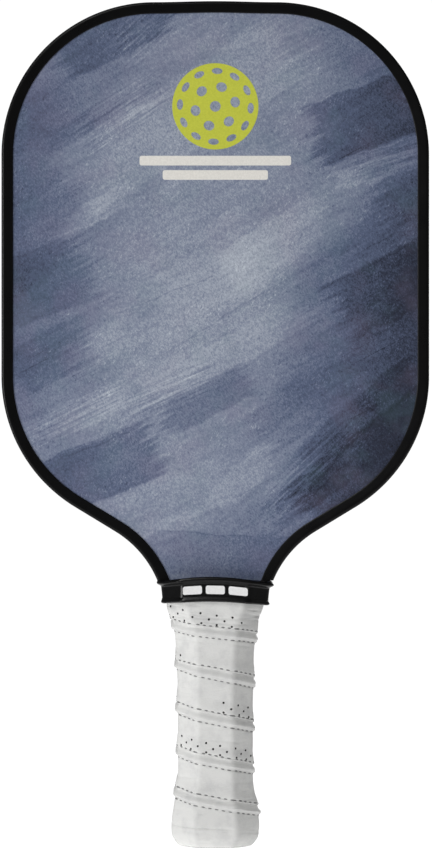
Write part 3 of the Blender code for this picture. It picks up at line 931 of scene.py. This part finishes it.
def stroke(g, ends, sides, x, z, length, height, slope, end=END_SOFTNESS, side=SIDE_SOFTNESS):
    """1 inside a straight stroke, 0 outside. ends and sides are the X and Z that each is read from."""
    along = band(g, *ends, x, z, slope, length, end)
    across = band(g, *sides, x, z, slope + 90, height, side)
    return g.math("MULTIPLY", along, across)


def brushed_lightness(g):
    """Lightness of the print: broad areas, strokes, creases and bristle marks over streaks."""
    ragged, wavy = ragged_place(g)
    ends = g.x_and_z(ragged)
    sides = g.x_and_z(wavy)
    streaks = g.noise(1.0, 7.0, 0.66, g.stretch(g.place, (1 / 40, 1 / 40, 1 / 3.4), 30))
    clouds = g.noise(30.0, 5.0, 0.55)
    lightness = g.total(g.scaled(streaks, 0.17, -0.085), g.scaled(clouds, 0.20, -0.10))
    for *shape, amount, edge in SHADED:
        lightness = g.scaled(soft_area(g, ragged, *shape, edge), amount, lightness)
    for *shape, amount in STROKES:
        lightness = g.scaled(stroke(g, ends, sides, *shape), amount, lightness)
    for x, z, length, slope, amount in HAIRLINES:
        line = stroke(g, ends, sides, x, z, length, 0.15, slope, end=length * 0.6, side=0.55)
        lightness = g.scaled(line, amount, lightness)
    for x, z, length, height, slope in BRISTLES:
        marks = g.noise(1.0, 3.0, 0.6, g.stretch(g.place, (1 / 26, 1 / 26, 1 / 1.1), slope))
        where = stroke(g, ends, sides, x, z, length, height, slope, end=8.0, side=3.0)
        lightness = g.scaled(g.scaled(marks, 0.6, -0.30), where, lightness)
    return lightness


def face_print_material():
    """Blue-grey brushed print on a gritty skin, with fine flecks and a few long scratches."""
    g = Graph("face_print", linear(118, 124, 146), 0.55, Specular_IOR_Level=0.25)
    lightness = brushed_lightness(g)
    grain = g.noise(0.62, 3.0, 0.75, g.stretch(g.place, (1.0, 1.0, 0.62), 30))
    coarse = g.noise(2.2, 3.0, 0.65)
    flecks = g.noise(0.75, 2.0, 0.6, g.stretch(g.place, (0.5, 0.5, 1.3), 62))
    patchy = g.noise(16.0, 3.0, 0.6)
    bright_fleck = g.math("MULTIPLY", g.window(flecks, 0.58, 0.72), g.window(patchy, 0.46, 0.66))
    dark_fleck = g.math("MULTIPLY", g.window(flecks, 0.42, 0.30), g.window(coarse, 0.58, 0.4))
    lines = g.noise(1.0, 2.0, 0.5, g.stretch(g.place, (1 / 80, 1 / 80, 1 / 0.9), 28))
    where = g.noise(1.0, 2.0, 0.5, g.stretch(g.place, (1 / 40, 1 / 40, 1 / 14), 28))
    lines = g.math("MULTIPLY", g.window(lines, 0.62, 0.72), g.window(where, 0.50, 0.62))
    value = g.total(
        lightness,
        g.scaled(grain, 0.56, -0.28 + PRINT_LEVEL),
        g.scaled(coarse, 0.14, -0.07),
        g.scaled(bright_fleck, 0.20),
        g.scaled(dark_fleck, -0.13),
        g.scaled(lines, -0.10),
    )
    colour = g.steps(
        value,
        (0.0, linear(11, 12, 18)),
        (0.25, linear(46, 52, 71)),
        (0.5, linear(93, 105, 134)),
        (0.7, linear(137, 146, 168)),
        (1.0, linear(206, 213, 222)),
    )
    violet = g.window(g.noise(24.0, 3.0, 0.5), 0.46, 0.7)
    teal = g.window(g.noise(19.0, 4.0, 0.6, g.vector("ADD", g.place, (300.0, 90.0, 40.0))), 0.48, 0.68)
    colour = g.mix(g.scaled(violet, 0.14), colour, linear(142, 128, 156))
    colour = g.mix(g.scaled(teal, 0.15), colour, linear(96, 126, 140))
    weave = g.math("MULTIPLY", wave(g, 0.62, 0), wave(g, 0.62, 2))
    height = g.total(g.scaled(grain, 0.7), g.scaled(weave, 0.3))
    return g.finish(colour, g.scaled(coarse, 0.18, 0.46), height, 0.03)


def wave(g, period, axis):
    """A ripple from 0 to 1 along one axis."""
    parts = g.add("ShaderNodeSeparateXYZ", {0: g.place})
    return g.scaled(g.math("SINE", g.scaled(parts.outputs[axis], 2 * math.pi / period)), 0.5, 0.5)


def ink_material(name, colour, dark):
    """Screen ink: even, with a trace of the skin's grit and a few pinholes."""
    g = Graph(name, colour, 0.42, Specular_IOR_Level=0.3)
    grain = g.noise(0.8, 3.0, 0.7)
    pinholes = g.window(g.noise(0.55, 1.0, 0.5), 0.76, 0.82)
    tone = g.mix(g.window(grain, 0.3, 0.75), dark, colour)
    tone = g.mix(g.scaled(pinholes, 0.35), tone, linear(120, 126, 146))
    return g.finish(tone, g.scaled(grain, 0.2, 0.34), grain, 0.02)


def guard_material():
    """Black extruded plastic with fine lengthwise drag marks, scuffs and a matt bloom."""
    g = Graph("guard_plastic", linear(3, 3, 4), 0.26, Specular_IOR_Level=0.22)
    fine = g.noise(0.35, 3.0, 0.65)
    bloom = g.noise(14.0, 4.0, 0.55)
    scuffs = g.noise(1.0, 3.0, 0.6, g.stretch(g.place, (1 / 9, 1 / 0.5, 1 / 0.5), 40))
    scuffs = g.math("MULTIPLY", g.window(scuffs, 0.66, 0.76), g.window(bloom, 0.5, 0.68))
    colour = g.mix(g.scaled(scuffs, 0.5), linear(4, 4, 5), linear(30, 30, 32))
    roughness = g.total(g.scaled(bloom, 0.18, 0.18), g.scaled(scuffs, 0.2), g.scaled(fine, 0.05))
    return g.finish(colour, roughness, g.total(fine, g.scaled(scuffs, -0.6)), 0.012)


def grip_material():
    """White polyurethane: pebbled skin, faint creases darkened with painted shade, and handling marks at
    random.
    """
    g = Graph("grip_polyurethane", linear(220, 220, 219), 0.56, Specular_IOR_Level=0.35, Sheen_Weight=0.08)
    pebble = g.pebbles(0.55)
    folds = g.noise(1.0, 4.0, 0.6, g.stretch(g.place, (1 / 9, 1 / 9, 1 / 1.1), 8), 0.6)
    marks = g.noise(7.0, 5.0, 0.62)
    bright = g.mix(g.window(marks, 0.4, 0.72), linear(231, 231, 229), linear(217, 217, 216))
    # Painted shade: the colour turns grey along the creases.
    colour = g.mix(g.scaled(g.window(folds, 0.6, 0.8), 0.35), bright, linear(184, 185, 186))
    height = g.total(g.scaled(pebble, 0.5), g.scaled(folds, 1.6))
    return g.finish(colour, g.scaled(marks, 0.2, 0.46), height, 0.07)


def plain_material(name, light, dark, roughness, grain, bump, **others):
    """A finish between two screen colours, with grain of one size that also gives the bump."""
    light, dark = linear(*light), linear(*dark)
    g = Graph(name, light, roughness, **others)
    fine = g.noise(grain, 4.0, 0.6)
    broad = g.noise(grain * 14, 3.0, 0.5)
    tone = g.mix(g.window(fine, 0.3, 0.7), dark, light)
    tone = g.mix(g.scaled(g.window(broad, 0.4, 0.7), 0.3), tone, dark)
    return g.finish(tone, g.scaled(broad, 0.16, roughness - 0.08), fine, bump)


def rubber_material():
    """Black silicone rubber: dull, with a fine mould texture and a little dust."""
    g = Graph("collar_rubber", linear(4, 4, 5), 0.22, Specular_IOR_Level=0.3)
    fine = g.noise(0.25, 3.0, 0.6)
    dust = g.noise(5.0, 5.0, 0.65)
    colour = g.mix(g.scaled(g.window(dust, 0.52, 0.8), 0.4), linear(4, 4, 5), linear(14, 14, 15))
    return g.finish(colour, g.scaled(dust, 0.12, 0.16), fine, 0.0015)


def thread_material():
    """Twisted polyester thread."""
    g = Graph("stitch_thread", linear(150, 150, 150), 0.7, Sheen_Weight=0.2)
    twist = g.math("SINE", g.scaled(g.total(*g.x_and_z(g.place)), 2 * math.pi / 0.35))
    colour = g.mix(g.scaled(twist, 0.5, 0.5), linear(96, 96, 97), linear(156, 156, 156))
    return g.finish(colour, None, twist, 0.03)


def badge_material():
    """Vinyl disc: fine turned rings and a black rim line."""
    g = Graph("badge_vinyl", linear(184, 188, 62), 0.35)
    parts = g.add("ShaderNodeSeparateXYZ", {0: g.place})
    flat = g.add("ShaderNodeCombineXYZ", {0: parts.outputs[0], 1: parts.outputs[1]}).outputs[0]
    away = g.length(flat)
    rings = g.math("SINE", g.scaled(away, 2 * math.pi / 0.4))
    rim = g.window(away, 10.9, 11.1)
    centre = g.window(away, 4.1, 3.9)
    tone = g.mix(g.scaled(g.noise(1.2), 0.3), linear(184, 188, 62), linear(160, 166, 52))
    colour = g.mix(g.math("MAXIMUM", rim, centre), tone, linear(20, 20, 21))
    return g.finish(colour, g.scaled(rings, 0.06, 0.36), rings, 0.01)


def paint_frame(nodes, made):
    """Better materials on the CAD nodes that stay."""
    looks = {
        "honeycomb_core": "honeycomb",
        "edge_guard_adhesive": "adhesive",
        "butt_cap": "cap",
        "butt_cap_badge": "badge",
        "finishing_tape": "tape",
    }
    for side in ("front", "rear"):
        looks[f"{side}_face_sheet"] = "face"
        looks[f"{side}_adhesive_film"] = "adhesive"
        looks[f"{side}_handle_pallet"] = "foam"
    for number in range(1, 5):
        looks[f"butt_cap_staple_{number}"] = "steel"
    for node, look in looks.items():
        nodes[node].data.materials.clear()
        nodes[node].data.materials.append(made[look])


def make_materials():
    return {
        "face": face_print_material(),
        "lime": ink_material("lime_ink", linear(216, 221, 80), linear(204, 210, 72)),
        "white": ink_material("white_ink", linear(252, 249, 242), linear(240, 237, 230)),
        "collar_white": ink_material("collar_ink", linear(252, 252, 252), linear(242, 242, 242)),
        "guard": guard_material(),
        "grip": grip_material(),
        # Painted shade: near-black walls and floors inside the perforations stand in for the shade there.
        "hole": plain_material("grip_hole_shade", (46, 46, 47), (22, 22, 22), 0.9, 0.3, 0.05),
        "thread": thread_material(),
        "rubber": rubber_material(),
        "honeycomb": plain_material("honeycomb_plastic", (222, 224, 222), (196, 200, 198), 0.5, 0.6, 0.02),
        "adhesive": plain_material("adhesive", (206, 196, 160), (180, 168, 128), 0.35, 1.4, 0.04),
        "foam": plain_material("handle_foam", (54, 54, 56), (34, 34, 36), 0.85, 0.5, 0.1),
        "cap": plain_material("butt_cap_plastic", (24, 24, 25), (16, 16, 17), 0.42, 0.35, 0.02),
        "badge": badge_material(),
        "steel": plain_material(
            "staple_steel", (205, 205, 208), (150, 150, 155), 0.3, 0.3, 0.005, Metallic=1.0
        ),
        "tape": plain_material("finishing_tape_vinyl", (34, 34, 35), (22, 22, 23), 0.38, 0.8, 0.02),
    }


# Stage -----------------------------------


def add_light(name, place, size, power):
    data = bpy.data.lights.new(name, "AREA")
    data.shape = "DISK"
    data.size = size
    data.energy = power
    light = add_object(name, data)
    light.location = place
    direction = Vector(LIGHT_TARGET) - light.location
    light.rotation_euler = direction.to_track_quat("-Z", "Y").to_euler()


def make_floor():
    mesh = bpy.data.meshes.new("floor")
    corners = [(x * FLOOR_HALF, y * FLOOR_HALF, 0) for x, y in ((-1, -1), (1, -1), (1, 1), (-1, 1))]
    mesh.from_pydata(corners, [], [(0, 1, 2, 3)])
    g = Graph("pale_floor", (0.9, 0.9, 0.9), 0.8)
    g.shader.inputs["Emission Color"].default_value = (1, 1, 1, 1)
    seen = g.add("ShaderNodeLightPath", {}).outputs["Is Camera Ray"]
    glow = g.scaled(seen, FLOOR_SEEN - FLOOR_GLOW, FLOOR_GLOW)
    g.tree.links.new(glow, g.shader.inputs["Emission Strength"])
    mesh.materials.append(g.material)
    add_object("floor", mesh)


def make_world():
    """White behind everything, but only a dim fill on the object itself."""
    world = bpy.data.worlds.new("studio")
    bpy.context.scene.world = world
    world.use_nodes = True
    tree = world.node_tree
    background = tree.nodes["Background"]
    background.inputs["Color"].default_value = (1, 1, 1, 1)
    seen = tree.nodes.new("ShaderNodeLightPath").outputs["Is Camera Ray"]
    level = tree.nodes.new("ShaderNodeMapRange")
    level.inputs["To Min"].default_value = WORLD_GLOW
    level.inputs["To Max"].default_value = WORLD_SEEN
    tree.links.new(seen, level.inputs["Value"])
    tree.links.new(level.outputs[0], background.inputs["Strength"])


def make_stage():
    make_floor()
    make_world()
    for light in LIGHTS:
        add_light(*light)
    scene = bpy.context.scene
    scene.view_settings.view_transform = "Standard"
    scene.view_settings.look = "None"


def make_camera():
    data = bpy.data.cameras.new("camera")
    data.sensor_width = 36.0
    data.lens = data.sensor_width * CAMERA_DISTANCE / (VIEW_HEIGHT * MM)
    data.clip_start, data.clip_end = 0.05, 20.0
    camera = add_object("camera", data)
    camera.location = (CAMERA_X * MM, -CAMERA_DISTANCE, CAMERA_Z * MM)
    camera.rotation_euler = (math.pi / 2, 0.0, 0.0)
    bpy.context.scene.camera = camera


def main():
    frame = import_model()
    make_camera()
    made = make_materials()
    paint_frame(frame["nodes"], made)
    make_guard(made["guard"])
    make_face_marks(made["lime"], made["white"])
    make_grip_wrap([made["grip"], made["hole"]])
    make_stitching(made["thread"])
    make_collar(made["rubber"])
    make_collar_mark(made["collar_white"])
    make_stage()


main()
